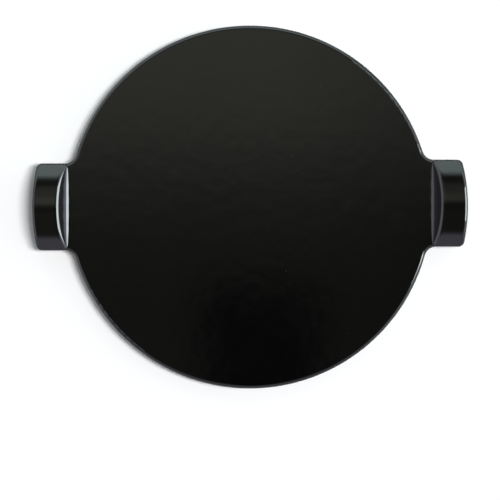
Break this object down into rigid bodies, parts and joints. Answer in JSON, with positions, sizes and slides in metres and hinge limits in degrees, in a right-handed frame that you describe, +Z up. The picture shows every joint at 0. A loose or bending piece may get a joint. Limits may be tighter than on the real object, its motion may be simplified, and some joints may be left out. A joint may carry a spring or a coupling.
{
  "type": "pizza stone",
  "caption": "Round glazed ceramic pizza stone: flat baking plate, arched lug handles with finger gaps on opposite sides, bare foot rings underneath.",
  "frame": {"origin": "on the table, under the middle of the round plate", "axes": "+X from the left handle to the right handle, +Y from the picture's lower edge to its upper edge, +Z up through the baking surface"},
  "size_m": [0.436, 0.365, 0.029],
  "materials": {
    "plate_glaze": "satin black glaze",
    "handle_glaze": "glossy black glaze",
    "bare_clay": "unglazed, fired and rubbed smooth"
  },
  "bodies": {
    "root": {"baking_plate": "plate_glaze", "left_handle": "handle_glaze", "right_handle": "handle_glaze", "outer_foot_ring": "bare_clay", "inner_foot_ring": "bare_clay"}
  },
  "joints": []
}
